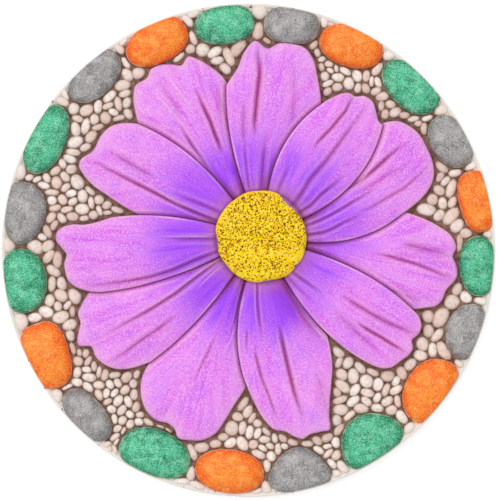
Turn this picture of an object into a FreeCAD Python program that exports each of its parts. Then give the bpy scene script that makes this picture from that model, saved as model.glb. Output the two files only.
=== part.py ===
import FreeCAD, Part
import math
import os

import Sketcher
from FreeCAD import Vector

# Garden stepping stone: a round slab of cast cement, one piece, lying flat.
# Its face carries an open flower of eleven overlapping petals around a domed
# eye, and twenty river pebbles set along the rim.
# Frame: millimetres, +Z up, origin in the middle of the underside, +Y towards
# the petal that points at twelve o'clock.

doc = FreeCAD.newDocument("garden_stepping_stone")
sheet = doc.addObject("Spreadsheet::Sheet", "Sizes")

# Sizes of the slab, the flower and the rim in millimetres.
SIZES = {
    "stone_diameter": 254,
    "bed_height": 15,
    "side_taper": 0.6,
    "foot_chamfer": 1.2,
    "face_edge_round": 0.5,
    "flower_right": 6.6,
    "flower_up": 6.8,
    "eye_diameter": 47,
    "eye_seat": 3.4,
    "eye_rise": 4.6,
    "petal_tuck": 4.5,
    "petal_edge_height": 2.2,
    "petal_crown": 2.4,
    "crease_depth": 0.8,
    "pebble_rise": 5.2,
    "pebble_inset": 0.8,
}

# Petals, numbered clockwise from twelve o'clock. Angles are about the flower's
# centre, in degrees anticlockwise from +X; the start side is the clockwise one.
# Each side runs from the root at the eye to a shoulder, beyond which the tip
# outline rounds over to the farthest reach (a higher roundness is a squarer
# tip). Lift raises a petal that lies over its neighbours. The notch and the
# creases are placed across the petal, from -1 at the start side to 1.
PETAL_FIELDS = (
    "start_root", "start_shoulder", "start_reach", "start_roundness",
    "end_root", "end_shoulder", "end_reach", "end_roundness",
    "tip_reach", "lift", "notch", "notch_depth", "crease", "side_crease",
)
PETALS = {
    "petal_01": (80.8, 65.4, 74, 2.5, 110, 103, 79.5, 2.4, 101, 0.6, 0.22, 3.2, 0.42, -0.2),
    "petal_02": (23, 42.5, 84.5, 2, 82, 66.2, 73.2, 1.6, 90, 1.2, 0.17, 1.8, 0.0, -0.45),
    "petal_03": (-7, 9, 72.6, 2.6, 24.2, 43.7, 87, 2.8, 96.8, 0.6, 0.7, 0.6, 0.3, -0.4),
    "petal_04": (-17.2, -26.5, 84, 3.8, -5.8, 10.2, 74, 2.3, 102, 0, 0.07, 2, 0.1, -0.2),
    "petal_05": (-61, -49, 87.6, 3.4, -16, -25.3, 85, 4, 97, 1.2, 0.23, 2.6, 0.15, 0.6),
    "petal_06": (-109, -97, 73.5, 2, -59.8, -56, 61, 1.6, 106, 0.6, -0.3, 1, -0.1, -0.5),
    "petal_07": (233.8, 227.8, 84, 3.4, 252.2, 264.3, 77, 2.7, 110.6, 0, -0.08, 3.4, 0.42, -0.26),
    "petal_08": (204.8, 197.8, 91, 2.3, 235, 229, 85.6, 2.2, 107.4, 0.6, 0.0, 4, -0.17, 0.42),
    "petal_09": (165, 171, 68.6, 2.2, 206, 199, 87.8, 3.2, 104.6, 1.2, 0.03, 4.2, -0.2, 0.55),
    "petal_10": (127, 136.5, 81.5, 2.5, 166.2, 172.2, 66, 1.6, 100.4, 0.6, -0.15, 3, 0.2, -0.25),
    "petal_11": (108.8, 101.8, 78, 2.6, 128.2, 137.7, 83, 3.4, 102, 0, -0.26, 4, 0.1, -0.35),
}

# Rim pebbles, numbered anticlockwise from twelve o'clock: angle about the
# stone's centre, distance of the middle from it, length, width, and the turn of
# the long side away from the rim's own direction.
PEBBLE_FIELDS = ("angle", "distance", "length", "width", "turn")
PEBBLES = {
    "pebble_01": (96, 116.6, 31, 19.6, 3),
    "pebble_02": (113.8, 116.8, 34, 21.6, 7),
    "pebble_03": (131.9, 119, 31.4, 19.2, 6),
    "pebble_04": (151.3, 118.6, 37.2, 18.6, 6),
    "pebble_05": (170.5, 116.9, 32, 20.4, 5),
    "pebble_06": (187.8, 116.3, 32.6, 22.6, -2),
    "pebble_07": (207.7, 116.5, 35.6, 22.8, -8),
    "pebble_08": (225.7, 118.2, 32, 18, -5),
    "pebble_09": (245.3, 115, 37.6, 22.8, 3),
    "pebble_10": (265.2, 114.6, 35.8, 22.8, -3),
    "pebble_11": (283, 116.3, 30.4, 22.8, -8),
    "pebble_12": (302.5, 116.1, 34, 23.8, 0),
    "pebble_13": (322, 117.9, 36.6, 21.6, 4),
    "pebble_14": (339.4, 119.7, 28, 17.6, 3),
    "pebble_15": (356, 118.7, 31, 18.2, 6),
    "pebble_16": (12, 120.2, 32, 17.8, -2),
    "pebble_17": (28.2, 118.2, 29, 18.4, 3),
    "pebble_18": (44.5, 118.7, 36, 19.6, 4),
    "pebble_19": (62.6, 117.6, 33, 21.2, 10),
    "pebble_20": (79, 117, 28.4, 18.6, 5),
}


def fill_sheet():
    """One row for each size: its name, its value and the alias it is read by."""
    rows = list(SIZES.items())
    for fields, table in ((PETAL_FIELDS, PETALS), (PEBBLE_FIELDS, PEBBLES)):
        for name, values in table.items():
            rows += [(f"{name}_{field}", value) for field, value in zip(fields, values)]
    for number, (alias, value) in enumerate(rows, 1):
        sheet.set(f"A{number}", alias)
        sheet.set(f"B{number}", str(value))
        sheet.setAlias(f"B{number}", alias)
    doc.recompute()


fill_sheet()


# Slab: one turned section, wider at the foot so that it leaves its mould, with
# a chamfered foot and a rounded face edge.
slab = doc.addObject("PartDesign::Body", "slab")
section = slab.newObject("Sketcher::SketchObject", "slab_section")
section.AttachmentSupport = [
    (next(f for f in slab.Origin.OriginFeatures if f.Role == "XZ_Plane"), "")
]
section.MapMode = "FlatFace"
foot_radius = sheet.stone_diameter / 2
chamfer = sheet.foot_chamfer
corners = [
    Vector(0, 0, 0),
    Vector(foot_radius - chamfer, 0, 0),
    Vector(foot_radius, chamfer, 0),
    Vector(foot_radius - sheet.side_taper, sheet.bed_height, 0),
    Vector(0, sheet.bed_height, 0),
]
lines = [Part.LineSegment(a, b) for a, b in zip(corners, corners[1:] + corners[:1])]
underside, foot, side, face, axis = section.addGeometry(lines, False)
for first, second in ((underside, foot), (foot, side), (side, face), (face, axis), (axis, underside)):
    section.addConstraint(Sketcher.Constraint("Coincident", first, 2, second, 1))
section.addConstraint(Sketcher.Constraint("Coincident", underside, 1, -1, 1))
section.addConstraint(Sketcher.Constraint("Horizontal", underside))
section.addConstraint(Sketcher.Constraint("Horizontal", face))
section.addConstraint(Sketcher.Constraint("Vertical", axis))


def dimension(kind, name, place, value, expression):
    """A named sketch dimension between two points, bound to the sheet."""
    index = section.addConstraint(Sketcher.Constraint(kind, *place, value))
    section.renameConstraint(index, name)
    section.setExpression(f"Constraints.{name}", expression)


dimension("DistanceX", "foot_radius", (-1, 1, side, 1), foot_radius, "Sizes.stone_diameter / 2")
dimension("DistanceX", "chamfer_run", (foot, 1, foot, 2), chamfer, "Sizes.foot_chamfer")
dimension("DistanceY", "chamfer_rise", (foot, 1, foot, 2), chamfer, "Sizes.foot_chamfer")
dimension("DistanceX", "taper", (side, 2, side, 1), sheet.side_taper, "Sizes.side_taper")
dimension("DistanceY", "bed", (-1, 1, side, 2), sheet.bed_height, "Sizes.bed_height")
turned = slab.newObject("PartDesign::Revolution", "slab_turned")
turned.Profile = section
turned.ReferenceAxis = (section, ["V_Axis"])
turned.Angle = 360
doc.recompute()
face_edges = [
    f"Edge{number}"
    for number, edge in enumerate(turned.Shape.Edges, 1)
    if edge.BoundBox.ZMin > sheet.bed_height - chamfer and edge.BoundBox.ZLength < chamfer
]
edge_round = slab.newObject("PartDesign::Fillet", "face_edge_round")
edge_round.Base = (turned, face_edges)
edge_round.setExpression("Radius", "Sizes.face_edge_round")


# Eye: a low dome on a round foot, over the petals' roots.
eye_foot = doc.addObject("Part::Cylinder", "eye_foot")
eye_foot.setExpression("Radius", "Sizes.eye_diameter / 2")
eye_foot.setExpression("Height", "Sizes.bed_height / 2 + Sizes.eye_seat")
eye_foot.setExpression("Placement.Base.z", "Sizes.bed_height / 2")
eye_dome = doc.addObject("Part::Ellipsoid", "eye_dome")
eye_dome.Angle1 = 0
eye_dome.setExpression("Radius1", "Sizes.eye_rise")
eye_dome.setExpression("Radius2", "Sizes.eye_diameter / 2")
eye_dome.setExpression("Radius3", "Sizes.eye_diameter / 2")
eye_dome.setExpression("Placement.Base.z", "Sizes.bed_height + Sizes.eye_seat")
for eye_piece in (eye_foot, eye_dome):
    eye_piece.setExpression("Placement.Base.x", "Sizes.flower_right")
    eye_piece.setExpression("Placement.Base.y", "Sizes.flower_up")


# Petals: each is a skin lofted over cross sections from its root, tucked under
# the eye, to its tip, and taken straight down into the slab. Across, it is crowned and drops to its edges;
# lengthwise it arches, and two valleys run out from the eye.
SIDE_SWEEP = 1.6
NOTCH_WIDTH = 0.09
CREASE_WIDTH = 0.13
STATIONS = (0, 0.22, 0.45, 0.68, 0.87, 1)
ACROSS = [step / 7 for step in range(-7, 8)]


def bump(offset, width):
    """A smooth hump of height one, falling away on both sides."""
    return math.exp(-((offset / width) ** 2))


def petal_point(name, along, across):
    """Point of a petal's upper skin: along from root to tip, across from side to side."""

    def size(field):
        return sheet.get(f"{name}_{field}")

    def blend(start, end):
        return size(start) + (size(end) - size(start)) * (across + 1) / 2

    shoulder_reach = blend("start_reach", "end_reach")
    roundness = size("start_roundness" if across < 0 else "end_roundness")
    reach = shoulder_reach + (size("tip_reach") - shoulder_reach) * (1 - abs(across) ** roundness)
    reach -= size("notch_depth") * bump(across - size("notch"), NOTCH_WIDTH)
    root_radius = sheet.eye_diameter / 2 - sheet.petal_tuck
    radius = root_radius + along * (reach - root_radius)
    sweep = min(1, (radius - root_radius) / (shoulder_reach - root_radius)) ** SIDE_SWEEP
    root_angle = blend("start_root", "end_root")
    angle = math.radians(root_angle + sweep * (blend("start_shoulder", "end_shoulder") - root_angle))
    arch = 1 - 2 * (along - 0.5) ** 2
    valley = bump(across - size("crease"), CREASE_WIDTH) + 0.6 * bump(across - size("side_crease"), CREASE_WIDTH)
    height = sheet.bed_height + sheet.petal_edge_height + size("lift")
    height += sheet.petal_crown * (1 - across**4) * arch
    height -= sheet.crease_depth * valley * (1 - along**2)
    return Vector(
        sheet.flower_right + radius * math.cos(angle),
        sheet.flower_up + radius * math.sin(angle),
        height,
    )


petals = []
for name in PETALS:
    sections = []
    for along in STATIONS:
        curve = Part.BSplineCurve()
        curve.interpolate(
            Points=[petal_point(name, along, across) for across in ACROSS], Parameters=ACROSS
        )
        sections.append(Part.Wire(curve.toShape()))
    skin = Part.makeLoft(sections, False, False)
    petal = doc.addObject("Part::Feature", name)
    petal.Shape = skin.Faces[0].extrude(Vector(0, 0, -sheet.bed_height / 2))
    petals.append(petal)


# Rim pebbles: half-sunk stones, cut off flush just inside the face's edge.
pebbles = []
for name in PEBBLES:
    pebble = doc.addObject("Part::Ellipsoid", name)
    pebble.setExpression("Radius1", "Sizes.pebble_rise")
    pebble.setExpression("Radius2", f"Sizes.{name}_length / 2")
    pebble.setExpression("Radius3", f"Sizes.{name}_width / 2")
    pebble.setExpression("Placement.Base.x", f"Sizes.{name}_distance * cos(Sizes.{name}_angle)")
    pebble.setExpression("Placement.Base.y", f"Sizes.{name}_distance * sin(Sizes.{name}_angle)")
    pebble.setExpression("Placement.Base.z", "Sizes.bed_height")
    pebble.setExpression("Placement.Rotation.Angle", f"Sizes.{name}_angle + 90 + Sizes.{name}_turn")
    pebbles.append(pebble)
pebble_ring = doc.addObject("Part::Compound", "pebble_ring")
pebble_ring.Links = pebbles
rim_limit = doc.addObject("Part::Cylinder", "rim_limit")
rim_limit.setExpression(
    "Radius", "Sizes.stone_diameter / 2 - Sizes.side_taper - Sizes.pebble_inset"
)
rim_limit.setExpression("Height", "Sizes.bed_height + Sizes.pebble_rise * 2")
trimmed_ring = doc.addObject("Part::Common", "trimmed_ring")
trimmed_ring.Base = pebble_ring
trimmed_ring.Tool = rim_limit


# The cast: slab, flower and pebbles in one solid.
stone = doc.addObject("Part::MultiFuse", "stepping_stone")
stone.Label = "stepping_stone"
stone.Shapes = [slab, eye_foot, eye_dome, trimmed_ring, *petals]
doc.recompute()

for item in doc.Objects:
    if "Invalid" in item.State or "Error" in item.State:
        raise RuntimeError(f"{item.Name} could not be built: {item.State}")
if stone.Shape.isNull() or not stone.Shape.isValid():
    raise RuntimeError("the stone's shape is not valid")
if len(stone.Shape.Solids) != 1:
    raise RuntimeError(f"the stone has {len(stone.Shape.Solids)} solids instead of one")

os.makedirs("parts", exist_ok=True)
stone.Shape.exportStep(f"parts/{stone.Label}.step")
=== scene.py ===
import math

import bpy
import numpy as np
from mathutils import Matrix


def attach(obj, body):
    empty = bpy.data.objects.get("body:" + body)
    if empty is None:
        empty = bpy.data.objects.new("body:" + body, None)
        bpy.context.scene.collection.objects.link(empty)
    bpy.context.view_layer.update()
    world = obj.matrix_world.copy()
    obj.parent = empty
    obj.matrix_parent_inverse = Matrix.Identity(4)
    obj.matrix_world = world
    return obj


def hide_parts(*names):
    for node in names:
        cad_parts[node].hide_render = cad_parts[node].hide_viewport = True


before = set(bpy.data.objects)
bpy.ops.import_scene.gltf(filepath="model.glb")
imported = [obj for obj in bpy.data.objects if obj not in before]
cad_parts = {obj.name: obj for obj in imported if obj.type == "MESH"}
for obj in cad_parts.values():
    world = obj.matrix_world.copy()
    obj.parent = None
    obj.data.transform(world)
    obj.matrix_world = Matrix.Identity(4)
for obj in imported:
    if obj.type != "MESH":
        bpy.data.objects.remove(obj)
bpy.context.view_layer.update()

# Slab: a round of poured cement, wider at the foot so that it leaves its mould, with a chamfered
# foot and a softened face edge. Side and underside stay bare and pale, with the pin holes of trapped
# air; the bed on top carries a brown wash that stays standing between the gravel stones.
STONE_RADIUS = 127.0
FACE_RADIUS = 126.4
FOOT_CHAMFER = 1.2
FACE_ROUND = 0.5
BED = 15.0
GROUT_DROP = 0.9
GROUT_START = 123.2
GROUT_LEDGE = 1.2
WASH_EDGE = 1.5
WASH_RUN = 4.5
AROUND_SLAB = 360


def srgb(red, green, blue):
    """A colour as a screen shows it, 0 to 255 a channel, as linear light: the power 2.2 of each share."""
    return (*[(value / 255) ** 2.2 for value in (red, green, blue)], 1.0)


def grid_faces(rows, columns, around=False):
    """Four-cornered faces of points counted row by row; around joins the last column to the first."""
    index = np.arange(rows * columns).reshape(rows, columns)
    if around:
        index = np.concatenate([index, index[:, :1]], axis=1)
    corners = [index[:-1, :-1], index[:-1, 1:], index[1:, 1:], index[1:, :-1]]
    return np.stack(corners, axis=-1).reshape(-1, 4)


def fan_faces(ring, pole):
    """Three-cornered faces that close a ring of point numbers onto one point."""
    return np.stack([ring, np.roll(ring, -1), np.full_like(ring, pole)], axis=-1)


def add_piece(name, points, faces, material, values):
    """A smooth mesh from points in millimetres, faces, and named numbers, vectors or colours per point."""
    mesh = bpy.data.meshes.new(name)
    corners = [face for group in faces for face in group.tolist()]
    mesh.from_pydata(points.reshape(-1, 3) * 0.001, [], corners)
    kinds = {1: ("FLOAT", "value"), 3: ("FLOAT_VECTOR", "vector"), 4: ("FLOAT_COLOR", "color")}
    for key, data in values.items():
        kind, field = kinds[data.shape[-1]]
        layer = mesh.attributes.new(key, kind, "POINT")
        layer.data.foreach_set(field, data.astype(np.float32).ravel())
    mesh.shade_smooth()
    mesh.materials.append(material)
    piece = bpy.data.objects.new(name, mesh)
    bpy.context.scene.collection.objects.link(piece)
    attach(piece, "root")
    return piece


def add_node(material, kind, sockets, **settings):
    """One shader node: settings are its own, sockets are constants or other nodes' outputs."""
    node = material.node_tree.nodes.new(kind)
    for key, value in settings.items():
        setattr(node, key, value)
    for key, value in sockets.items():
        if isinstance(value, bpy.types.NodeSocket):
            material.node_tree.links.new(value, node.inputs[key])
        else:
            node.inputs[key].default_value = value
    return node


def new_finish(name, roughness):
    """A material with a plain shader, to which a section joins its own colour."""
    material = bpy.data.materials.new(name)
    material.use_nodes = True
    shader = material.node_tree.nodes["Principled BSDF"]
    shader.inputs["Roughness"].default_value = roughness
    shader.inputs["Specular IOR Level"].default_value = 0.25
    return material, shader


def value_of(material, key):
    """The number that the mesh holds for each point under this name."""
    return add_node(material, "ShaderNodeAttribute", {}, attribute_name=key).outputs["Fac"]


def noise(material, place, size, detail):
    """Cloudy noise over a place, with patches about this size in the place's own unit."""
    sockets = {"Vector": place, "Scale": 1.0 / size, "Detail": detail, "Roughness": 0.6}
    return add_node(material, "ShaderNodeTexNoise", sockets).outputs["Fac"]


def blotches(material, size, detail=2.0):
    """Noise fixed to the object, with patches about this many millimetres across."""
    place = add_node(material, "ShaderNodeTexCoord", {}).outputs["Object"]
    return noise(material, place, size * 0.001, detail)


def spread(material, value, low, high, to_low=0.0, to_high=1.0):
    """Stretches a range of numbers onto another and stops at its ends."""
    sockets = {"Value": value, "From Min": low, "From Max": high, "To Min": to_low, "To Max": to_high}
    return add_node(material, "ShaderNodeMapRange", sockets).outputs["Result"]


def total(material, first, second):
    """The sum of two numbers."""
    return add_node(material, "ShaderNodeMath", {0: first, 1: second}, operation="ADD").outputs[0]


def blend(material, share, first, second, way="MIX"):
    """Lays the second colour over the first by this share."""
    sockets = {0: share, 6: first, 7: second}
    return add_node(material, "ShaderNodeMix", sockets, data_type="RGBA", blend_type=way).outputs[2]


def relief(material, shader, height, depth):
    """Fine surface relief, so many millimetres deep, from a pattern."""
    sockets = {"Height": height, "Distance": depth * 0.001, "Strength": 1.0}
    bump = add_node(material, "ShaderNodeBump", sockets)
    material.node_tree.links.new(bump.outputs["Normal"], shader.inputs["Normal"])


def turned_slab():
    """A section of radius and height carried round the axis, closed by a point at either end."""
    turn = np.linspace(0, math.pi / 2, 6)
    side_top = BED - FACE_ROUND
    edge_radius = FACE_RADIUS + FACE_ROUND * (np.cos(turn) - 1)
    edge_height = side_top + FACE_ROUND * np.sin(turn)
    side_radius = np.linspace(STONE_RADIUS, FACE_RADIUS, 8)[1:-1]
    side_height = np.linspace(FOOT_CHAMFER, side_top, 8)[1:-1]
    section = np.concatenate([
        [(40, 0), (85, 0), (STONE_RADIUS - FOOT_CHAMFER, 0), (STONE_RADIUS, FOOT_CHAMFER)],
        np.column_stack([side_radius, side_height]),
        np.column_stack([edge_radius, edge_height]),
        [(GROUT_START + GROUT_LEDGE, BED), (GROUT_START + GROUT_LEDGE, BED - GROUT_DROP * 0.2)],
        [(GROUT_START, BED - GROUT_DROP * 0.7)],
        [(radius, BED - GROUT_DROP) for radius in np.arange(GROUT_START - 1.5, 5, -3.0)],
    ])
    angle = np.linspace(0, 2 * math.pi, AROUND_SLAB, endpoint=False)
    radius, height = section[:, :1], section[:, 1:]
    ring = [radius * np.cos(angle), radius * np.sin(angle), height + 0 * angle]
    poles = [(0, 0, 0), (0, 0, BED - GROUT_DROP)]
    points = np.concatenate([np.stack(ring, axis=-1).reshape(-1, 3), poles])
    last = len(section) * AROUND_SLAB
    faces = [
        grid_faces(len(section), AROUND_SLAB, around=True),
        fan_faces(np.arange(AROUND_SLAB), last)[:, ::-1],
        fan_faces(np.arange(last - AROUND_SLAB, last), last + 1),
    ]
    return points, faces


slab_points, slab_faces = turned_slab()
slab_reach = np.hypot(slab_points[:, 0], slab_points[:, 1])
slab_wash = np.clip((GROUT_START + WASH_EDGE - slab_reach) / WASH_RUN, 0, 1)
slab_wash = slab_wash * (slab_points[:, 2] > BED / 2)
cement, cement_shader = new_finish("bare_cement", 0.85)
cement_tone = blend(cement, blotches(cement, 9, 4.0), srgb(226, 216, 206), srgb(246, 240, 233))
pin_holes = spread(cement, blotches(cement, 2.4, 1.0), 0.24, 0.29)
cement_tone = blend(cement, pin_holes, srgb(150, 136, 122), cement_tone)
grout_share = spread(cement, blotches(cement, 3, 4.0), 0.35, 0.65)
grout_tone = blend(cement, grout_share, srgb(92, 66, 50), srgb(150, 118, 98))
wash_edge = spread(cement, total(cement, value_of(cement, "wash"), blotches(cement, 4)), 0.75, 1.15)
cement_colour = blend(cement, wash_edge, cement_tone, grout_tone)
cement.node_tree.links.new(cement_colour, cement_shader.inputs["Base Color"])
relief(cement, cement_shader, total(cement, blotches(cement, 1.2, 3.0), pin_holes), 0.25)
slab = add_piece("slab", slab_points, slab_faces, cement, {"wash": slab_wash[:, None]})
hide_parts("stepping_stone")

# Petals: eleven overlapping petals of one open flower, cast with the slab and painted orchid pink,
# with violet brushed over the inner third, brown wash and painted shade in the creases and between them,
# and painted highlights on edges and ridges. Each runs from its root under the eye to a lobed tip; its
# edges round over and drop to the bed.
FLOWER = np.array([6.6, 6.8])
ROOT_RADIUS = 19.0
SIDE_SWEEP = 1.6
EDGE_HEIGHT = 1.9
EDGE_ROUND = 1.3
CROWN = 2.6
CROWN_RUN = 6.5
TUCK = 1.2
TUCK_RUN = 1.8
PETAL_FOOT = BED - 2
EYE_SEAM = 23.4
ROOT_SHADE_END = 52
ROOT_SHADE_RUN = 24
MAUVE_END = 33
MAUVE_RUN = 9
VIOLET_RING = 36
VIOLET_RUN = 24
STROKES_ACROSS = 28
STROKES_ALONG = 8
STROKES_APART = 40
FAR = 99.0
ALONG_PETAL = 104
ACROSS_PETAL = 140
# Clockwise from the top: root angle of either side, lift over the neighbours, and the outline of the tip
# from shoulder to shoulder as angle about the flower's centre (degrees) and reach (millimetres).
PETALS = [
    (80.8, 110, 0.6, [
        (65.2, 74), (70.9, 87.7), (73.4, 94.4), (77.4, 99.6), (81, 100), (84.9, 99.4), (87.8, 96.5),
        (91.8, 100.4), (95, 95.5), (98.1, 87), (103, 79.5),
    ]),
    (23, 82, 1.2, [
        (42.5, 84.6), (44.2, 84.4), (46.8, 86.4), (50.6, 89.8), (53.8, 89.3), (56.3, 86.5),
        (57.9, 86.5), (63.4, 79.3), (66.2, 73.2),
    ]),
    (-7, 24.2, 0.6, [
        (9, 72.6), (11.4, 79.3), (15.3, 88.5), (18.4, 92.9), (23.8, 96), (28.8, 96.5), (33, 96.5),
        (36.8, 94.8), (39.9, 92.2), (43.4, 84.8),
    ]),
    (-17.2, -5.8, 0.0, [
        (-26.7, 84), (-23.3, 92.1), (-21.6, 96.5), (-19.3, 98.3), (-16.6, 98.6), (-11, 102.5),
        (-8.2, 101.1), (-5.9, 98.9), (-3.3, 100.1), (-0.4, 98.3), (4, 89.8), (6.6, 83.4),
        (10.2, 74),
    ]),
    (-61, -16, 1.2, [
        (-49, 87.7), (-47.3, 91.8), (-45.2, 94.4), (-41.5, 95.8), (-38.5, 97), (-36.3, 96.5),
        (-34.5, 93.8), (-31.6, 94.8), (-29.4, 94.2), (-26.9, 90.8), (-25.4, 85),
    ]),
    (-109, -59.8, 0.6, [
        (-97, 73), (-93.3, 82.6), (-88, 96), (-86.3, 98.9), (-83, 100.6), (-80.3, 104.1),
        (-78.1, 105.8), (-76.5, 104.6), (-73, 104.5), (-70.4, 104.9), (-69.3, 99.1), (-67.3, 91.3),
        (-64.5, 83.6), (-61.4, 76.4), (-56, 61),
    ]),
    (233.8, 252.2, 0.0, [
        (227.8, 84), (230.2, 96), (233.3, 102.7), (237.2, 107.3), (240.7, 108.3), (243.4, 107),
        (245.8, 108.2), (247.5, 111.5), (250.6, 110.6), (254, 108.4), (256.8, 104), (258.9, 96.2),
        (260.9, 87.7), (264.5, 77),
    ]),
    (204.8, 235, 0.6, [
        (197.6, 92), (200.5, 97.9), (202.8, 101.7), (205.7, 102.7), (207.2, 105), (210.8, 108.8),
        (213, 103.7), (216, 104.7), (219, 103.7), (222.3, 100.6), (224.7, 96.3), (228.6, 85.6),
    ]),
    (165, 206, 1.2, [
        (172.5, 76.9), (174.6, 83.4), (176, 90.3), (176.4, 97.9), (177.5, 102.5), (179.2, 105),
        (181, 105), (183.3, 102.2), (185.3, 100.1), (187.7, 101.7), (190, 101.9), (192.6, 101.4),
        (195, 98.6), (197.3, 93.4), (199, 87.8),
    ]),
    (127, 166.2, 0.6, [
        (137.6, 86), (140.3, 91.2), (143.7, 95.5), (147.1, 96.9), (153.3, 96.9), (157, 100.5),
        (158.5, 100.3), (160.9, 96), (163.2, 89.5), (165, 81.5), (167.6, 72), (171, 60),
    ]),
    (108.8, 128.2, 0.0, [
        (101.6, 78), (103.8, 85.1), (106.7, 91.3), (109.6, 96.5), (112, 99.6), (114.9, 96.9),
        (117.5, 99.6), (120.7, 102.2), (123.7, 102.5), (125.4, 100.4), (129.9, 100.6),
        (132.8, 96.3), (135.3, 90.8), (138.6, 83),
    ]),
]
# Creases: petal, width, depth (below zero for a ridge), and places from the root outwards, as angle
# and reach.
CREASES = [
    (0, 1.3, 0.45, [(89.5, 23), (87.2, 52)]),
    (0, 1.2, 0.9, [(93.4, 57), (91.8, 70), (90.5, 83), (91.2, 98)]),
    (0, 1.4, 0.35, [(100.2, 51), (97, 71)]), (0, 0.7, 0.35, [(103.8, 25), (99.5, 52)]),
    (0, 1.9, 0.2, [(75, 60), (79.5, 92)]), (0, 1.0, -0.5, [(89, 78), (89, 99)]),
    (1, 1.0, 0.35, [(70, 24), (68.3, 40)]),
    (1, 0.9, 0.8, [(59, 56), (57, 66), (56.1, 77), (57, 90)]),
    (1, 1.2, 0.55, [(45, 24), (49.4, 38), (49.3, 50), (50.3, 66), (51.3, 86)]),
    (1, 0.9, 0.6, [(31.8, 23), (32, 30), (35, 37), (36.2, 52)]),
    (2, 1.1, 0.9, [(29, 53), (30.5, 66), (32.2, 77), (33, 86)]),
    (2, 0.8, 0.6, [(13.7, 23), (15.4, 31), (18.2, 40), (20.8, 50), (23, 66)]),
    (2, 0.9, 0.6, [(1.7, 22), (3.7, 32), (9.7, 43), (12.5, 52)]),
    (2, 1.0, 0.45, [(14.5, 57), (17, 67), (19, 78), (23.5, 95)]),
    (2, 1.6, 0.25, [(24.5, 55), (27, 86)]),
    (3, 1.0, 0.65, [(-8.5, 64), (-10, 80), (-11.6, 93), (-12.8, 103)]),
    (3, 1.9, 0.4, [(-3, 74), (-5.9, 98)]), (3, 2.0, 0.3, [(-22.5, 68), (-22, 90)]),
    (4, 0.9, 0.45, [(-48.5, 24), (-46, 31), (-42.3, 43)]), (4, 0.9, 0.3, [(-57, 24), (-51.5, 42)]),
    (4, 1.2, 0.6, [(-35.7, 56), (-35, 68), (-34, 80), (-31.8, 96)]),
    (4, 2.0, 0.25, [(-45.2, 56), (-44.6, 86)]),
    (4, 0.9, 0.9, [(-41.5, 69), (-40, 80), (-38.5, 96)]),
    (5, 0.7, 0.6, [(-94.8, 24), (-92.7, 35), (-89.4, 52)]), (5, 0.6, -0.4, [(-97, 25), (-92, 50)]),
    (5, 1.0, 0.95, [(-78.6, 52), (-78.4, 66), (-78, 81), (-77, 95)]),
    (5, 0.9, -0.4, [(-76.6, 62), (-76, 84)]),
    (5, 0.8, 0.65, [(-92.7, 60), (-89.5, 73), (-87.3, 81), (-84.6, 95)]),
    (5, 0.6, 0.4, [(-98.5, 49), (-97.3, 59)]), (5, 1.8, 0.2, [(-68, 78), (-69.5, 100)]),
    (5, 3.6, 0.5, [(-65, 24), (-63, 40), (-59.5, 62)]),
    (6, 0.7, 0.6, [(250.5, 27), (252.6, 41), (253.2, 53)]),
    (6, 0.6, 0.35, [(245.6, 59), (245, 82)]), (6, 0.6, -0.4, [(243.8, 59), (244, 78)]),
    (6, 0.6, -0.4, [(254.4, 50), (252.5, 64)]),
    (7, 1.0, 0.7, [(209.5, 25), (212.2, 40), (213.6, 52), (213.4, 66), (212, 95)]),
    (7, 0.7, -0.6, [(207.5, 25), (210.6, 40), (212, 52), (212.2, 66), (211, 88)]),
    (7, 0.8, 0.4, [(214, 25), (217, 38)]), (7, 0.6, -0.5, [(216, 26), (219.5, 42)]),
    (7, 1.1, 0.5, [(222.5, 64), (220.8, 80), (220.1, 100)]),
    (8, 1.0, 0.65, [(199, 25), (200.7, 48), (200, 60), (197.3, 80), (196.3, 92)]),
    (8, 1.2, 0.45, [(182.5, 23), (181.3, 46)]), (8, 0.7, -0.5, [(179.8, 27), (179.8, 54)]),
    (9, 0.9, 0.85, [(160.5, 26), (159.5, 40), (157.5, 60), (156.8, 72), (155.8, 95)]),
    (9, 0.7, -0.5, [(158.2, 45), (155.8, 60), (155.2, 72), (154.2, 98)]),
    (9, 1.2, 0.4, [(149.5, 24), (154, 47)]), (9, 1.3, 0.4, [(151, 65), (150.6, 90)]),
    (10, 1.0, 0.95, [(114.6, 51), (113.8, 64), (114.1, 81)]),
    (10, 0.8, 0.7, [(127.8, 45), (127.4, 54), (126.3, 70)]),
    (10, 0.6, -0.6, [(125.5, 52), (125, 68), (125.8, 82), (127.5, 100)]),
    (10, 0.7, -0.45, [(118.6, 76), (120.7, 100)]), (10, 2.2, 0.35, [(106.6, 56), (106.4, 80)]),
    (10, 1.6, 0.2, [(123.2, 76), (123.6, 96)]),
]
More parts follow.
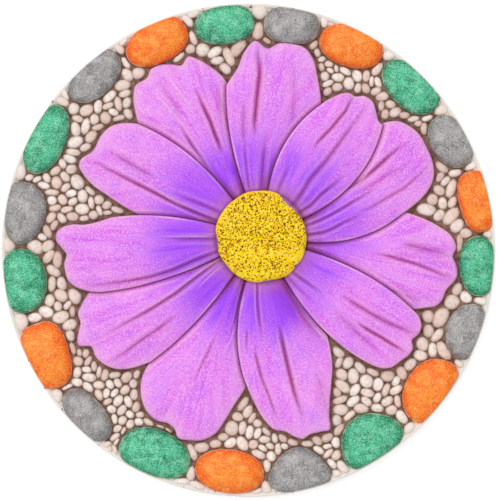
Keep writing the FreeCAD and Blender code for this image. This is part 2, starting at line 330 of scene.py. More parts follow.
# Violet brush strokes: petal, half width, strength (below zero for a bare one), and places from the
# root outwards.
VIOLET = [
    (0, 6, 0.75, [(101, 24), (100, 56)]), (0, 3, 0.6, [(84, 26), (84, 46)]),
    (1, 2.6, 1.0, [(45, 25), (49.5, 38), (49.3, 54)]), (1, 3, 0.6, [(72, 30), (70, 52)]),
    (1, 2.5, 0.7, [(36, 26), (37, 50)]),
    (2, 3.5, 0.9, [(8, 26), (14, 62)]), (2, 2, 0.7, [(18, 28), (22, 58)]),
    (3, 4, 0.7, [(-6, 34), (-5, 62)]), (3, 9, -0.5, [(-14, 38), (-14, 72)]),
    (4, 6, 0.8, [(-32, 24), (-29, 48)]), (4, 3, 0.6, [(-50, 28), (-47, 46)]),
    (4, 9, -0.6, [(-40, 32), (-40, 68)]),
    (5, 5, 0.9, [(-82, 26), (-80, 58)]), (5, 4, 0.8, [(-70, 30), (-71, 52)]),
    (5, 4, 0.8, [(-98, 28), (-95, 56)]),
    (6, 6, 1.0, [(240, 28), (240, 58)]), (6, 3, 0.7, [(252, 34), (254, 62)]),
    (7, 5, 1.0, [(223, 26), (223, 58)]), (7, 3, 0.7, [(208, 36), (207, 62)]),
    (8, 6, 0.85, [(186, 26), (187, 66)]), (8, 4.5, 0.75, [(174, 26), (174, 62)]),
    (8, 2.5, 0.8, [(201.5, 28), (200, 66)]),
    (9, 8, 0.95, [(143, 26), (144, 64)]), (9, 3.5, 0.8, [(165, 34), (165, 62)]),
    (10, 5, 0.8, [(121, 30), (121, 56)]), (10, 3, 0.5, [(113, 34), (112, 50)]),
]


def smooth_outline(points, share):
    """A curve through angle and reach pairs, read at shares of its length.

    Cubic pieces join neighbours, and each point's slope is weighed from the two points beside it.
    """
    step = np.hypot(np.diff(points[:, 1]), np.radians(np.diff(points[:, 0])) * points[1:, 1])
    at = np.concatenate([[0], np.cumsum(step)]) / step.sum()
    lean = np.gradient(points, at, axis=0)
    left = np.clip(np.searchsorted(at, share, side="right") - 1, 0, len(at) - 2)
    span = (at[left + 1] - at[left])[:, None]
    run = (share - at[left])[:, None] / span
    leaving = points[left] * (1 + 2 * run) * (1 - run) ** 2 + lean[left] * span * run * (1 - run) ** 2
    arriving = points[left + 1] * run**2 * (3 - 2 * run) - lean[left + 1] * span * run**2 * (1 - run)
    return leaving + arriving


def petal_polar(number, along, across):
    """Reach and angle over one petal, for shares along it (root 0, tip 1) and across it (sides -1 and 1).

    A line of one share across leaves the root ring and ends on the tip outline: its reach grows evenly, and
    its angle swings over with a power of the distance run.
    """
    root_start, root_end, _, outline = PETALS[number]
    tip_angle, tip_reach = smooth_outline(np.array(outline), (across + 1) / 2).T
    root = root_start + (root_end - root_start) * (across + 1) / 2
    reach = ROOT_RADIUS + along[:, None] * (tip_reach - ROOT_RADIUS)
    angle = root + along[:, None] ** SIDE_SWEEP * (tip_angle - root)
    return reach, angle


def on_face(reach, angle):
    """Places on the stone's face from reach and angle about the flower's centre."""
    turn = np.radians(angle)
    return FLOWER + np.stack([reach * np.cos(turn), reach * np.sin(turn)], axis=-1)


def distance_from(line, places):
    """Distance of rows of places from a line of points: the least over its straight runs."""
    start = line[:-1]
    run = np.diff(line, axis=0)
    rows = []
    for row in places:
        away = row[:, None] - start
        share = np.clip((away * run).sum(axis=-1) / np.maximum((run**2).sum(axis=-1), 1e-9), 0, 1)
        rows.append(np.hypot(*np.moveaxis(away - share[..., None] * run, -1, 0)).min(axis=1))
    return np.stack(rows)


def bell(aside, width):
    """e to the minus square of aside over width: one in the middle, next to nothing at twice the width."""
    return np.exp(-((aside / width) ** 2))


def beside(path, reach, angle):
    """How far aside of a path each place lies, in millimetres, and how strong the path is there.

    The path runs through angle and reach pairs. Its strength sets in quickly and fades over a little more
    than its last third.
    """
    angles, reaches = np.array(path).T
    run = (reach - reaches[0]) / (reaches[-1] - reaches[0])
    aside = np.radians(angle - np.interp(reach, reaches, angles)) * reach
    return aside, np.clip(run * 4 + 0.6, 0, 1) * np.clip((1.08 - run) * 2.2, 0, 1)


def crease_marks(number, reach, angle):
    """Height taken away, dark core of brown wash and painted shade, painted rosy shade and painted
    highlight of a petal's creases and ridges.

    All are bells across a crease's path. The heights add up a narrow one and a wide one, and of the core,
    shade and highlight the strongest of all creases counts. Pale flanks beside a dent are painted highlight
    too.
    """
    groove, core, shade, ridge_highlight = np.zeros((4, *reach.shape))
    for petal, width, depth, path in CREASES:
        if petal == number:
            aside, strength = beside(path, reach, angle)
            dent = max(depth, 0) * strength
            swell = max(-depth, 0) * strength
            groove += depth * strength * (0.65 * bell(aside, 0.8 * width) + 0.35 * bell(aside, 2.2 * width))
            # Dark core: brown wash and painted shade; rosy shade: painted shade; pale lips and ridges:
            # painted highlight.
            core = np.maximum(core, 1.1 * dent * bell(aside, 0.38 * width))
            shade = np.maximum(shade, 0.9 * dent * bell(aside, 1.7 * width))
            lip_highlight = 0.45 * dent * bell(np.abs(aside) - 1.9 * width, 0.7 * width) * (width < 2)
            ridge_highlight = np.maximum(ridge_highlight, np.maximum(swell * bell(aside, 0.8 * width), lip_highlight))
    return groove, core, shade, ridge_highlight


def violet_share(number, reach, angle):
    """Share of violet: a bell across a ring around the eye, plus a bell across each brush stroke."""
    share = 0.52 * bell(reach - VIOLET_RING, VIOLET_RUN)
    for petal, width, strength, path in VIOLET:
        if petal == number:
            aside, laid = beside(path, reach, angle)
            share = share + 0.35 * strength * laid * bell(aside, 1.4 * width)
    return np.clip(share, 0, 1)


def petal_height(lift, from_edge, under, groove):
    """Height over one petal.

    The edge stands a set height and the petal's lift over the bed, and rounds over by a quarter circle.
    Inwards the petal swells to a crown, by one less e to the minus distance from the edge. It tucks down
    in a bell along a neighbour that lies over it, and its creases are taken away.
    """
    round_run = np.clip(EDGE_ROUND - from_edge, 0, EDGE_ROUND)
    rounded = EDGE_ROUND - np.sqrt(EDGE_ROUND**2 - round_run**2)
    height = BED + EDGE_HEIGHT + lift - rounded - groove
    return height + CROWN * (1 - np.exp(-from_edge / CROWN_RUN)) - TUCK * bell(under, TUCK_RUN)


def rim_of_grid(rows, columns):
    """The numbers of a grid's outer points in one ring, which closes the grid from below."""
    index = np.arange(rows * columns).reshape(rows, columns)
    return np.concatenate([index[0], index[1:, -1], index[-1, -2::-1], index[-2:0:-1, 0]])[None, :]


paint, paint_shader = new_finish("petal_paint", 0.55)
stroke_place = add_node(paint, "ShaderNodeAttribute", {}, attribute_name="stroke").outputs["Vector"]
fine_strokes = noise(paint, stroke_place, 1.4, 2.0)
broad_strokes = noise(paint, stroke_place, 4.5, 2.0)
petal_grain = blotches(paint, 0.7, 1.0)
pinker = spread(paint, broad_strokes, 0.35, 0.65)
petal_colour = blend(paint, pinker, srgb(224, 108, 240), srgb(245, 154, 246))
lilac = spread(paint, blotches(paint, 11, 2.0), 0.45, 0.7, 0, 0.5)
petal_colour = blend(paint, lilac, petal_colour, srgb(206, 106, 250))
streaks = spread(paint, fine_strokes, 0.5, 0.75, 0, 0.45)
petal_colour = blend(paint, streaks, petal_colour, srgb(246, 170, 248))
petal_flecks = spread(paint, petal_grain, 0.5, 0.72, 0, 0.55)
petal_colour = blend(paint, petal_flecks, petal_colour, srgb(255, 212, 255))
brushed = total(paint, value_of(paint, "violet"), spread(paint, broad_strokes, 0.3, 0.7, -0.2, 0.2))
brushed = total(paint, brushed, spread(paint, fine_strokes, 0.3, 0.7, -0.1, 0.1))
petal_colour = blend(paint, spread(paint, brushed, 0.05, 0.95, 0, 0.95), petal_colour, srgb(158, 64, 252))
petal_colour = blend(paint, value_of(paint, "inner"), petal_colour, srgb(170, 94, 170))
# Painted shade in the creases and along neighbours, dark cores of wash and painted shade, painted
# highlights, then the brown wash with painted shade.
petal_colour = blend(paint, value_of(paint, "shade"), petal_colour, srgb(214, 126, 180), "MULTIPLY")
petal_colour = blend(paint, value_of(paint, "core"), petal_colour, srgb(118, 48, 48))
petal_colour = blend(paint, value_of(paint, "painted_highlight"), petal_colour, srgb(252, 202, 216))
petal_colour = blend(paint, value_of(paint, "wash"), petal_colour, srgb(88, 28, 54))
petal_shadow = spread(paint, petal_grain, 0.28, 0.5, 0.8, 1.0)
petal_colour = blend(paint, 1.0, petal_colour, petal_shadow, "MULTIPLY")
paint.node_tree.links.new(petal_colour, paint_shader.inputs["Base Color"])
relief(paint, paint_shader, total(paint, petal_grain, fine_strokes), 0.12)

# Rows crowd towards the tip and columns towards the sides, where the edges round over.
even_along = np.linspace(0, 1, ALONG_PETAL)
along = 0.5 * even_along + 0.5 * np.sin(even_along * math.pi / 2)
even_across = np.linspace(-1, 1, ACROSS_PETAL)
across = 0.5 * even_across + 0.5 * np.sin(even_across * math.pi / 2)
plans = [petal_polar(number, along, across) for number in range(len(PETALS))]
outlines = []
for reach, angle in plans:
    place = on_face(reach, angle)
    outlines.append(np.concatenate([place[:, 0], place[-1, 1:-1], place[::-1, -1]]))
for number, (reach, angle) in enumerate(plans):
    lift = PETALS[number][2]
    place = on_face(reach, angle)
    from_edge = distance_from(outlines[number], place)
    under = np.full(reach.shape, FAR)
    for other in ((number - 1) % len(PETALS), (number + 1) % len(PETALS)):
        if PETALS[other][2] > lift:
            under = np.minimum(under, distance_from(outlines[other], place))
    groove, core, shade, ridge_highlight = crease_marks(number, reach, angle)
    height = petal_height(lift, from_edge, under, groove)
    rootward = np.clip((ROOT_SHADE_END - reach) / ROOT_SHADE_RUN, 0, 1)
    # Along a neighbour that lies over it, the roots get a dark core: painted shade.
    core = np.maximum(np.clip(core, 0, 0.8), 0.55 * rootward * bell(under, 0.5 + 2.4 * rootward))
    # Brown wash and painted shade: a dark line along a neighbour that lies over it, a thin one at the edge
    # and a ring round the eye.
    wash = np.maximum(0.85 * bell(under, 0.6), 0.25 * bell(from_edge, 0.2))
    wash = np.maximum(wash, 0.65 * bell(reach - EYE_SEAM, 1.1))
    shade = np.clip(np.maximum(shade, 0.5 * bell(under, 2.0)), 0, 0.9)
    uneven = 0.6 + 0.25 * np.sin(np.radians(angle) * 23 + reach / 5)
    # Painted highlight: a pale line along the open edges, on ridges and lips, beside a neighbour's dark
    # line and near the tips.
    painted_highlight = np.maximum(uneven * bell(from_edge - 0.6, 0.45) * np.clip((reach - 28) / 12, 0, 1), 0.8 * ridge_highlight)
    painted_highlight = np.maximum(painted_highlight, 0.45 * bell(under - 2.2, 0.8) * np.clip((reach - 40) / 20, 0, 1))
    painted_highlight = np.maximum(painted_highlight, 0.3 * bell(from_edge, 4.5) * np.clip((reach - 72) / 18, 0, 1))
    violet = violet_share(number, reach, angle)
    inner = 0.7 * np.clip((MAUVE_END - reach) / MAUVE_RUN, 0, 1)
    stroke = [STROKES_ACROSS * across, STROKES_ALONG * along[:, None], STROKES_APART * number + 0 * reach]
    stroke = np.stack(np.broadcast_arrays(*stroke), axis=-1)
    border = ((1, 1), (1, 1))
    point = np.pad(np.dstack([place, height]), (*border, (0, 0)), mode="edge")
    point[0, :, 2] = point[-1, :, 2] = point[:, 0, 2] = point[:, -1, 2] = PETAL_FOOT
    marks = {"violet": violet, "inner": inner, "shade": shade, "core": core, "painted_highlight": painted_highlight}
    values = {key: np.pad(data, border, mode="edge")[..., None] for key, data in marks.items()}
    # The walls take the full wash: brown wash and painted shade in the gaps between petals.
    values["wash"] = np.pad(wash, border, constant_values=1.0)[..., None]
    values["stroke"] = np.pad(stroke, (*border, (0, 0)), mode="edge")
    faces = [grid_faces(*point.shape[:2])[:, ::-1], rim_of_grid(*point.shape[:2])]
    add_piece(f"petal_{number + 1:02d}", point, faces, paint, values)

# Eye: a low dome of close florets over the petals' roots, painted yellow, with brown left standing in
# the pits between the florets.
EYE_SHOULDER = 18.4
EYE_TOP = 22.8
EYE_FOOT = BED
EYE_BELLY = 2.4
RINGS_EYE = 96
AROUND_EYE = 520
PITS = 2500
PIT_DEPTH = 0.35
PIT_FIELD = 22.8
# The eye's edge, as angle (degrees) and reach (millimetres)
EYE_EDGE = np.array([
    (1, 23.3), (27, 22.6), (48, 22.4), (65, 24.2), (90, 23.6), (110, 23.8), (125, 23.3),
    (144, 23.7), (168, 23.7), (200, 23.2), (216, 22.9), (237, 23.4), (262, 23.7), (283, 22.8),
    (305, 24), (328, 24.5), (343, 23.4),
])


def eye_pits(x, y):
    """How deep each place lies in a pit.

    Pits are flat bells, longer than wide, at seeded places, and fewer below the middle.
    """
    random = np.random.default_rng(5)
    reach = PIT_FIELD * np.sqrt(random.uniform(0, 1, PITS))
    turn = random.uniform(0, 2 * math.pi, PITS)
    pit_x, pit_y = reach * np.cos(turn), reach * np.sin(turn)
    bare = 0.7 * bell(pit_y + 9.5, 2.4) * (pit_x > -13) + 0.4 * (reach > 21) * (pit_y < -6)
    strength = random.uniform(0.55, 1.0, PITS) * (random.uniform(0, 1, PITS) > bare)
    heading = random.uniform(0, math.pi, PITS)
    size = random.uniform(0.2, 0.33, PITS)
    length = random.uniform(1.0, 2.6, PITS)
    rows = []
    for row_x, row_y in zip(x, y):
        away_x, away_y = row_x[:, None] - pit_x, row_y[:, None] - pit_y
        ahead = (away_x * np.cos(heading) + away_y * np.sin(heading)) / (size * length)
        aside = (away_y * np.cos(heading) - away_x * np.sin(heading)) / size
        rows.append((strength * np.exp(-(ahead**2 + aside**2))).max(axis=1))
    return np.stack(rows)


# The dome falls from its top with the root of one less a power of the share of its reach, less the pits.
eye_turn = np.linspace(0, 2 * math.pi, AROUND_EYE, endpoint=False)
eye_share = np.linspace(1, 0.01, RINGS_EYE)[:, None]
eye_reach = np.interp(np.degrees(eye_turn), EYE_EDGE[:, 0], EYE_EDGE[:, 1], period=360)
eye_x = eye_reach * eye_share * np.cos(eye_turn)
eye_y = eye_reach * eye_share * np.sin(eye_turn)
pit = eye_pits(eye_x, eye_y)
eye_height = EYE_SHOULDER + (EYE_TOP - EYE_SHOULDER) * (1 - eye_share**EYE_BELLY) ** 0.5 - PIT_DEPTH * pit
eye_dome = np.stack([eye_x + FLOWER[0], eye_y + FLOWER[1], eye_height], axis=-1)
eye_wall = eye_dome[:1] * (1, 1, 0) + (0, 0, EYE_FOOT)
eye_points = np.concatenate([eye_wall.reshape(-1, 3), eye_dome.reshape(-1, 3), [(*FLOWER, EYE_TOP)]])
eye_last = (RINGS_EYE + 1) * AROUND_EYE
eye_faces = [
    grid_faces(RINGS_EYE + 1, AROUND_EYE, around=True),
    fan_faces(np.arange(eye_last - AROUND_EYE, eye_last), eye_last),
    np.arange(AROUND_EYE)[None, ::-1],
]
# The wall round the eye's foot takes the dark brown of the pits: painted shade where the eye meets the
# petals.
eye_pit = np.concatenate([pit[0] * 0 + 0.6, pit.ravel(), [0]])
# Share of painted highlight: full on the wall, rising steeply towards the dome's edge.
eye_highlight_share = np.concatenate([np.ones(AROUND_EYE), (eye_share**14 + 0 * eye_turn).ravel(), [0]])
yellow, yellow_shader = new_finish("eye_paint", 0.6)
yellow_shader.inputs["Specular IOR Level"].default_value = 0.1
lighter = spread(yellow, blotches(yellow, 5), 0.35, 0.65)
eye_colour = blend(yellow, lighter, srgb(255, 202, 10), srgb(255, 226, 22))
eye_flecks = spread(yellow, blotches(yellow, 1.1, 1.0), 0.5, 0.7, 0, 0.6)
eye_colour = blend(yellow, eye_flecks, eye_colour, srgb(255, 244, 140))
# A paler rim round the eye: painted highlight.
eye_rim_highlight = spread(yellow, value_of(yellow, "edge"), 0, 1, 0, 0.4)
eye_colour = blend(yellow, eye_rim_highlight, eye_colour, srgb(250, 206, 60))
pit_halo = spread(yellow, value_of(yellow, "pit"), 0.1, 0.4, 0, 0.4)
eye_colour = blend(yellow, pit_halo, eye_colour, srgb(236, 150, 16))
pit_core = spread(yellow, value_of(yellow, "pit"), 0.36, 0.66, 0, 1)
eye_colour = blend(yellow, pit_core, eye_colour, srgb(72, 26, 0))
yellow.node_tree.links.new(eye_colour, yellow_shader.inputs["Base Color"])
relief(yellow, yellow_shader, blotches(yellow, 0.9), 0.15)
add_piece("eye", eye_points, eye_faces, yellow, {"pit": eye_pit[:, None], "edge": eye_highlight_share[:, None]})

# Rim pebbles: twenty river pebbles, cast half-sunk in the bed and trimmed just inside the rim, painted
# green, orange or grey, each darker towards its edge in painted shade.
PEBBLE_RISE = 5.2
PEBBLE_FOOT = BED - 1.5
PEBBLE_SINK = 0.4
PEBBLE_BELLY = 2.5
PEBBLE_SHOULDER = 2.2
EDGE_SHADE_START = 0.66
EDGE_SHADE_RUN = 0.3
LIP_START = 0.945
LIP_RUN = 0.03
RIM_LIMIT = 125.5
RINGS_PEBBLE = 30
AROUND_PEBBLE = 72
GREEN, ORANGE, GREY = 0, 1, 2
# Angle and distance from the middle, length, width, turn; then the outline: how much wider the end
# that lies counterclockwise is, how much shorter the inner side, its squareness, a third corner and
# where it points; last the paint.
PEBBLES = np.array([
    (96, 116, 31, 20, 3, -0.04, 0, 2.3, 0, 0, GREEN),
    (113.8, 116.3, 34, 21.8, 7, -0.12, 0, 2.3, 0, 0, ORANGE),
    (131.5, 118.6, 32.6, 19.8, 6, -0.06, 0.05, 2.2, 0, 0, GREY),
    (151.3, 118, 37.4, 20.4, 6, 0, 0, 2.1, 0, 0, GREEN),
    (170.5, 116.3, 32, 21.8, 5, -0.04, 0.1, 2.2, 0.03, 110, GREY),
    (187.8, 115.9, 33, 23.4, -2, 0, 0.1, 2.2, 0, 0, GREEN),
    (207.5, 116.3, 35, 23.6, -8, 0, 0.02, 2.6, 0.03, 125, ORANGE),
    (225.7, 118.2, 32, 18, -5, 0, 0, 2.1, 0, 0, GREY),
    (245.3, 114.4, 37.6, 24, 5, 0, 0.06, 2.2, 0.02, 110, GREEN),
    (265.2, 113.8, 35.6, 22.6, -3, 0, 0, 2.15, 0, 0, ORANGE),
    (283, 116.2, 30.8, 23.4, -8, 0, 0.22, 2.1, 0.05, 90, GREY),
    (302.7, 115.1, 33, 25.6, 0, 0, 0.16, 2.2, 0.04, 100, GREEN),
    (322.4, 116.8, 35.2, 23.8, 4, 0, 0.1, 2.3, 0.03, 80, ORANGE),
    (339.6, 118.7, 29, 19.6, 3, 0, 0.08, 2.2, 0.03, 90, GREY),
    (356, 118.1, 31, 19.4, 6, 0, 0.05, 2.2, 0, 0, GREEN),
    (12, 119.8, 32, 18.4, -2, 0.1, 0, 2.5, 0, 0, ORANGE),
    (28.2, 117.4, 29, 20, 3, 0, 0.05, 2.2, 0, 0, GREY),
    (45.2, 117.8, 34.2, 21.4, 4, -0.08, 0.03, 2.2, 0, 0, GREEN),
    (63.2, 117, 33.4, 21.4, 10, 0, 0, 2.2, 0, 0, ORANGE),
    (79, 117.2, 28.8, 19.4, 5, 0.03, 0, 2.4, 0, 0, GREY),
])


def pebble_domes():
    """Rings of all pebbles: each ring a share of an egg-like outline, its height a root of what is left.

    The outline is an oval whose squareness is a power, with a third corner, and wider at one end.
    """
    column = [PEBBLES[:, number, None, None] for number in range(PEBBLES.shape[1])]
    place, distance, length, width, turn, egg_long, egg_wide, square, peak, peak_at, _ = column
    share = np.sin(np.linspace(math.pi / 2, 0.03, RINGS_PEBBLE))[None, :, None]
    angle = np.linspace(0, 2 * math.pi, AROUND_PEBBLE, endpoint=False)[None, None, :]
    corner = (np.abs(np.cos(angle)) ** square + np.abs(np.sin(angle)) ** square) ** (-1 / square)
    corner = corner * (1 + peak * np.cos(3 * (angle - np.radians(peak_at))))
    run = length / 2 * np.cos(angle) * corner
    rise = width / 2 * np.sin(angle) * corner
    run = run * (1 - 0.9 * egg_wide * np.sin(angle))
    rise = rise * (1 + egg_long * np.cos(angle))
    heading = np.radians(place + 90 + turn)
    middle = [distance * np.cos(np.radians(place)), distance * np.sin(np.radians(place))]
    x = middle[0] + share * (run * np.cos(heading) - rise * np.sin(heading))
    y = middle[1] + share * (run * np.sin(heading) + rise * np.cos(heading))
    dome_share = (1 - share**PEBBLE_BELLY) ** (1 / PEBBLE_SHOULDER)
    z = BED - PEBBLE_SINK + (PEBBLE_RISE + PEBBLE_SINK) * dome_share + 0 * angle * place
    trim = np.minimum(1, RIM_LIMIT / np.hypot(x, y))
    dome = np.stack([x * trim, y * trim, z], axis=-1)
    wall = dome[:, :1] * (1, 1, 0) + (0, 0, PEBBLE_FOOT)
    return np.concatenate([wall, dome], axis=1), np.concatenate([[1.0], share.ravel()])


def per_point(values, points_each):
    """Each stone's own value for all points of its rings, then once more for the point on its top."""
    return np.concatenate([np.repeat(values, points_each, axis=0), values])


def colour_of(material, key):
    """The colour that the mesh holds for each point under this name."""
    return add_node(material, "ShaderNodeAttribute", {}, attribute_name=key).outputs["Color"]


pebble_points, pebble_share = pebble_domes()
pebble_tops = pebble_points[:, -1].mean(axis=1)
pebble_tops[:, 2] = BED + PEBBLE_RISE
pebble_rings = RINGS_PEBBLE + 1
count = pebble_rings * AROUND_PEBBLE
pebble_faces = []
for number in range(len(PEBBLES)):
    last_ring = np.arange(count - AROUND_PEBBLE, count) + number * count
    pebble_faces.append(grid_faces(pebble_rings, AROUND_PEBBLE, around=True) + number * count)
    pebble_faces.append(fan_faces(last_ring, len(PEBBLES) * count + number))
    pebble_faces.append(np.arange(AROUND_PEBBLE)[None, ::-1] + number * count)
paint_number = PEBBLES[:, -1].astype(int)
body = np.array([srgb(82, 196, 150), srgb(255, 142, 48), srgb(164, 161, 160)])[paint_number]
# The deep colours serve both the painted shade at each pebble's edge and its darker patches and grain.
shade_and_deep_paint = np.array([srgb(12, 116, 78), srgb(244, 84, 2), srgb(116, 114, 114)])[paint_number]
fleck = np.array([srgb(150, 230, 192), srgb(255, 182, 96), srgb(204, 201, 198)])[paint_number]
# Painted shade: each pebble darkens towards its edge.
edge_shade_share = np.clip((pebble_share - EDGE_SHADE_START) / EDGE_SHADE_RUN, 0, 1)[None, :, None, None]
shaded_pebble_tone = body[:, None, None] * (1 - edge_shade_share) + shade_and_deep_paint[:, None, None] * edge_shade_share
shaded_pebble_tone = np.broadcast_to(shaded_pebble_tone, (len(PEBBLES), pebble_rings, AROUND_PEBBLE, 4))
shaded_pebble_tone = np.concatenate([shaded_pebble_tone.reshape(-1, 4), body])
pebble_lip = np.clip((pebble_share - LIP_START) / LIP_RUN, 0, 1)[None, :, None]
pebble_lip = np.broadcast_to(pebble_lip, (len(PEBBLES), pebble_rings, AROUND_PEBBLE))
pebble_lip = np.concatenate([pebble_lip.ravel(), np.zeros(len(PEBBLES))])
enamel, enamel_shader = new_finish("pebble_paint", 0.5)
deep_tone = colour_of(enamel, "shade_and_deep_paint")
pale_tone = colour_of(enamel, "fleck")
pebble_grain = blotches(enamel, 0.55, 1.0)
deep_patches = spread(enamel, blotches(enamel, 7, 3.0), 0.46, 0.66, 0, 0.8)
pebble_colour = blend(enamel, deep_patches, colour_of(enamel, "tone"), deep_tone)
pale_patches = spread(enamel, blotches(enamel, 5, 2.0), 0.5, 0.64, 0, 0.55)
pebble_colour = blend(enamel, pale_patches, pebble_colour, pale_tone)
deep_grain = spread(enamel, pebble_grain, 0.5, 0.34, 0, 0.75)
pebble_colour = blend(enamel, deep_grain, pebble_colour, deep_tone)
pale_grain = spread(enamel, pebble_grain, 0.5, 0.68, 0, 0.7)
pebble_colour = blend(enamel, pale_grain, pebble_colour, pale_tone)
worn_edge = total(enamel, value_of(enamel, "lip"), blotches(enamel, 2.5, 2.0))
bare_lip = spread(enamel, worn_edge, 1.35, 1.6, 0, 0.6)
pebble_colour = blend(enamel, bare_lip, pebble_colour, srgb(236, 218, 202))
enamel.node_tree.links.new(pebble_colour, enamel_shader.inputs["Base Color"])
relief(enamel, enamel_shader, pebble_grain, 0.12)
pebble_values = {
    "tone": shaded_pebble_tone,
    "shade_and_deep_paint": per_point(shade_and_deep_paint, count),
    "fleck": per_point(fleck, count),
    "lip": pebble_lip[:, None],
}
all_pebble_points = np.concatenate([pebble_points.reshape(-1, 3), pebble_tops])
add_piece("rim_pebbles", all_pebble_points, pebble_faces, enamel, pebble_values)

# Gravel: pea gravel pressed close together over the bed, pale stone with the brown wash in its joints,
# brown wash and painted shade at each stone's foot, and painted shade beside the petals.
# The free bed is shared out among seeded centres, and each stone is fitted to its own share.
STONES = 330
STONE_RISE = 1.9
STONE_FOOT = BED - GROUT_DROP - 0.6
GRAVEL_LIMIT = 125.2
JOINT = 0.1
OVAL = 0.7
LEAST_STONE = 1.4
SHARING_ROUNDS = 40
PETAL_SHADE_RUN = 4.5
STONE_BELLY = 2.6
LONGEST_REACH = 1.6
RIM_DUST_START = 115
RIM_DUST_RUN = 6
RINGS_STONE = 3
AROUND_STONE = 14
CELL = 0.5


def free_bed():
    """Points of a half-millimetre raster over the bed that no petal and no pebble covers.

    A bare joint is left along both, one raster step wide along the pebbles and two along the petals.
    """
    half = int(STONE_RADIUS / CELL)
    covered = np.zeros((2 * half, 2 * half), bool)
    along = np.linspace(0, 1, 420)
    across = np.linspace(-1, 1, 300)
    on_petals = np.stack([on_face(*petal_polar(number, along, across)) for number in range(len(PETALS))])
    steps = np.linspace(0, 1, 60)[:, None, None, None]
    middle = pebble_tops[:, None, :2]
    on_pebbles = middle + (pebble_points[:, 0, :, :2] - middle) * steps
    for cloud in (on_petals, on_pebbles):
        column, row = np.floor(cloud.reshape(-1, 2).T / CELL).astype(int) + half
        covered[row, column] = True
        for axis, shift in ((0, 1), (0, -1), (1, 1), (1, -1)):
            covered = covered | np.roll(covered, shift, axis)
    axis = (np.arange(2 * half) - half + 0.5) * CELL
    x, y = np.meshgrid(axis, axis)
    free = ~covered & (np.hypot(x, y) < GRAVEL_LIMIT)
    return np.stack([x[free], y[free]], axis=-1)


def gravel_places():
    """Centres of the stones and their reach in each direction.

    Each point of the free bed goes to the stone that is nearest, measured in an oval of the stone's own,
    and each centre then moves to the middle of its share, round after round. A stone is a joint's width
    smaller than its share, and mostly the oval that spreads as far as the share does.
    """
    random = np.random.default_rng(11)
    bed = free_bed()
    centre = bed[random.choice(len(bed), STONES, replace=False)]
    heading = random.uniform(0, math.pi, STONES)
    long_axis = random.uniform(0.85, 1.2, STONES)
    short_axis = long_axis / random.uniform(1.2, 2.1, STONES)
    for _ in range(SHARING_ROUNDS):
        away = bed[:, None] - centre[None]
        ahead = (away[..., 0] * np.cos(heading) + away[..., 1] * np.sin(heading)) / long_axis
        aside = (away[..., 1] * np.cos(heading) - away[..., 0] * np.sin(heading)) / short_axis
        owner = np.argmin(ahead**2 + aside**2, axis=1)
        held = np.bincount(owner, minlength=STONES)
        share = np.maximum(held, 1)
        middle = np.stack([np.bincount(owner, bed[:, axis], STONES) / share for axis in (0, 1)], axis=-1)
        centre = np.where(held[:, None] > 0, middle, centre)
    off = bed - centre[owner]
    turns = np.arctan2(off[:, 1], off[:, 0]) / (2 * math.pi)
    sector = np.floor(turns * AROUND_STONE + 0.5).astype(int) % AROUND_STONE
    reach = np.zeros((STONES, AROUND_STONE))
    np.maximum.at(reach, (owner, sector), np.hypot(*off.T))
    even = CELL * np.sqrt(share / math.pi)[:, None]
    reach = (np.roll(reach, 1, axis=1) + 2 * reach + np.roll(reach, -1, axis=1)) / 4
    reach = np.minimum(reach, LONGEST_REACH * even)
    turn = np.linspace(0, 2 * math.pi, AROUND_STONE, endpoint=False)
    wide, tall, lean = [
        np.bincount(owner, off[:, first] * off[:, second], STONES)[:, None] / share[:, None]
        for first, second in ((0, 0), (1, 1), (0, 1))
    ]
    slant = tall * np.cos(turn) ** 2 - 2 * lean * np.cos(turn) * np.sin(turn) + wide * np.sin(turn) ** 2
    oval = 2 * np.sqrt(np.maximum(wide * tall - lean**2, 1e-6) / np.maximum(slant, 1e-6))
    good = even[:, 0] > LEAST_STONE
    return centre[good], (OVAL * oval + (1 - OVAL) * reach)[good] - JOINT, random


# A stone's rings are shares of its reach, and its height is the root of one less a power of that share.
centre, stone_reach, random = gravel_places()
stone_count = len(centre)
share = np.concatenate([[1.0], np.sin(np.linspace(math.pi / 2, 0.45, RINGS_STONE))])[None, :, None]
angle = np.linspace(0, 2 * math.pi, AROUND_STONE, endpoint=False)[None, None, :]
stone_x = centre[:, 0, None, None] + share * stone_reach[:, None] * np.cos(angle)
stone_y = centre[:, 1, None, None] + share * stone_reach[:, None] * np.sin(angle)
trim = np.minimum(1, GRAVEL_LIMIT / np.hypot(stone_x, stone_y))
stone_rise = (STONE_RISE * random.uniform(0.75, 1.15, stone_count))[:, None, None]
stone_height = BED - GROUT_DROP + stone_rise * (1 - share**STONE_BELLY) ** 0.5 + 0 * stone_x
stone_height[:, 0] = STONE_FOOT
stone_points = np.stack([stone_x * trim, stone_y * trim, stone_height], axis=-1)
stone_middle = stone_points[:, -1, :, :2].mean(axis=1)
stone_tops = np.column_stack([stone_middle, BED - GROUT_DROP + stone_rise[:, 0, 0]])
count = (RINGS_STONE + 1) * AROUND_STONE
stone_start = np.arange(stone_count)[:, None, None] * count
last_ring = np.arange(count - AROUND_STONE, count)
caps = np.stack([
    fan_faces(last_ring + number * count, stone_count * count + number) for number in range(stone_count)
])
stone_faces = [
    (grid_faces(RINGS_STONE + 1, AROUND_STONE, around=True) + stone_start).reshape(-1, 4),
    caps.reshape(-1, 3),
    (np.arange(AROUND_STONE)[::-1] + stone_start[:, 0]).reshape(-1, AROUND_STONE),
]
stone_tone = random.uniform(0, 1, stone_count)
rim_share = np.clip((np.hypot(*centre.T) - RIM_DUST_START) / RIM_DUST_RUN, 0, 1)
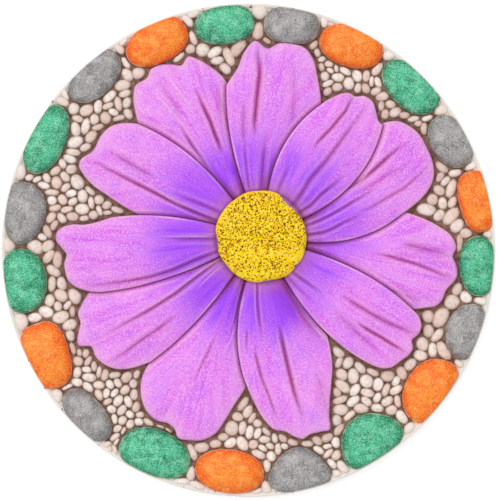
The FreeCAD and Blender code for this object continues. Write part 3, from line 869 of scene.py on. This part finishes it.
# Painted shade: stones beside the petals turn brown.
petal_gap = np.min([distance_from(outline, centre[None])[0] for outline in outlines], axis=0)
petal_shade_share = bell(petal_gap, PETAL_SHADE_RUN)
foot = np.concatenate([np.broadcast_to(share**5, stone_points.shape[:3]).ravel(), np.zeros(stone_count)])
pale, pale_shader = new_finish("gravel_wash", 0.7)
gravel_colour = blend(pale, value_of(pale, "tone"), srgb(236, 212, 200), srgb(255, 247, 240))
rosy = spread(pale, blotches(pale, 1.8, 3.0), 0.45, 0.7, 0, 0.6)
gravel_colour = blend(pale, rosy, gravel_colour, srgb(212, 168, 150))
soil = spread(pale, value_of(pale, "soil"), 0, 1, 0, 0.5)
gravel_colour = blend(pale, soil, gravel_colour, srgb(172, 124, 104))
# Brown wash and painted shade at each stone's foot.
foot_wash_and_shade = spread(pale, value_of(pale, "foot"), 0.2, 1.0, 0, 0.85)
gravel_colour = blend(pale, foot_wash_and_shade, gravel_colour, srgb(126, 92, 76))
rim_dust = spread(pale, value_of(pale, "rim"), 0, 1, 0, 0.5)
gravel_colour = blend(pale, rim_dust, gravel_colour, srgb(240, 230, 222))
pale.node_tree.links.new(gravel_colour, pale_shader.inputs["Base Color"])
relief(pale, pale_shader, blotches(pale, 1.2, 2.0), 0.12)
gravel_values = {
    "tone": per_point(stone_tone, count)[:, None],
    "foot": foot[:, None],
    "rim": per_point(rim_share, count)[:, None],
    "soil": per_point(petal_shade_share, count)[:, None],
}
all_stone_points = np.concatenate([stone_points.reshape(-1, 3), stone_tops])
add_piece("gravel", all_stone_points, stone_faces, pale, gravel_values)

# Studio: a white floor under the stone, soft light from all round with one broad lamp from the upper
# left, and a long lens straight above.
FLOOR_DROP = 0.0002
FLOOR_LIFT = 0.42
SKY_STRENGTH = 0.52
LAMP_STRENGTH = 1.7
LAMP_ANGLE = math.radians(60)
LAMP_PLACE = (-0.4, 0.5, 1.5)
CAMERA_HEIGHT = 2.0
# In picture points: the picture's side, the stone's width in it, and how far left of the middle it lies.
PICTURE_SIDE = 500
STONE_IN_PICTURE = 492.2
STONE_LEFT_OF_MIDDLE = 1.8
bpy.ops.mesh.primitive_plane_add(size=6, location=(0, 0, -FLOOR_DROP))
floor = bpy.context.object
floor.name = "floor"
white, white_shader = new_finish("white_floor", 0.9)
white_shader.inputs["Base Color"].default_value = (0.85, 0.85, 0.85, 1)
seen = add_node(white, "ShaderNodeLightPath", {})
direct = total(white, seen.outputs["Is Camera Ray"], seen.outputs["Is Glossy Ray"])
seen_at_all = total(white, direct, seen.outputs["Is Transmission Ray"])
white_shader.inputs["Emission Color"].default_value = (1, 1, 1, 1)
lift = spread(white, seen_at_all, 0, 1, 0, FLOOR_LIFT)
white.node_tree.links.new(lift, white_shader.inputs["Emission Strength"])
floor.data.materials.append(white)

world = bpy.data.worlds.new("studio")
bpy.context.scene.world = world
world.use_nodes = True
world.node_tree.nodes["Background"].inputs["Color"].default_value = (1, 1, 1, 1)
world.node_tree.nodes["Background"].inputs["Strength"].default_value = SKY_STRENGTH

lamp = bpy.data.lights.new("soft_lamp", "SUN")
lamp.energy = LAMP_STRENGTH
lamp.angle = LAMP_ANGLE
lamp_stand = bpy.data.objects.new("soft_lamp", lamp)
lamp_stand.location = LAMP_PLACE
lamp_stand.rotation_euler = (-lamp_stand.location).to_track_quat("-Z", "Y").to_euler()
bpy.context.scene.collection.objects.link(lamp_stand)

pixel = 0.001 * 2 * STONE_RADIUS / STONE_IN_PICTURE
lens = bpy.data.cameras.new("camera")
lens.lens = lens.sensor_width * CAMERA_HEIGHT / (PICTURE_SIDE * pixel)
camera = bpy.data.objects.new("camera", lens)
camera.location = (STONE_LEFT_OF_MIDDLE * pixel, 0, CAMERA_HEIGHT)
bpy.context.scene.collection.objects.link(camera)
bpy.context.scene.camera = camera
bpy.context.scene.view_settings.view_transform = "Standard"
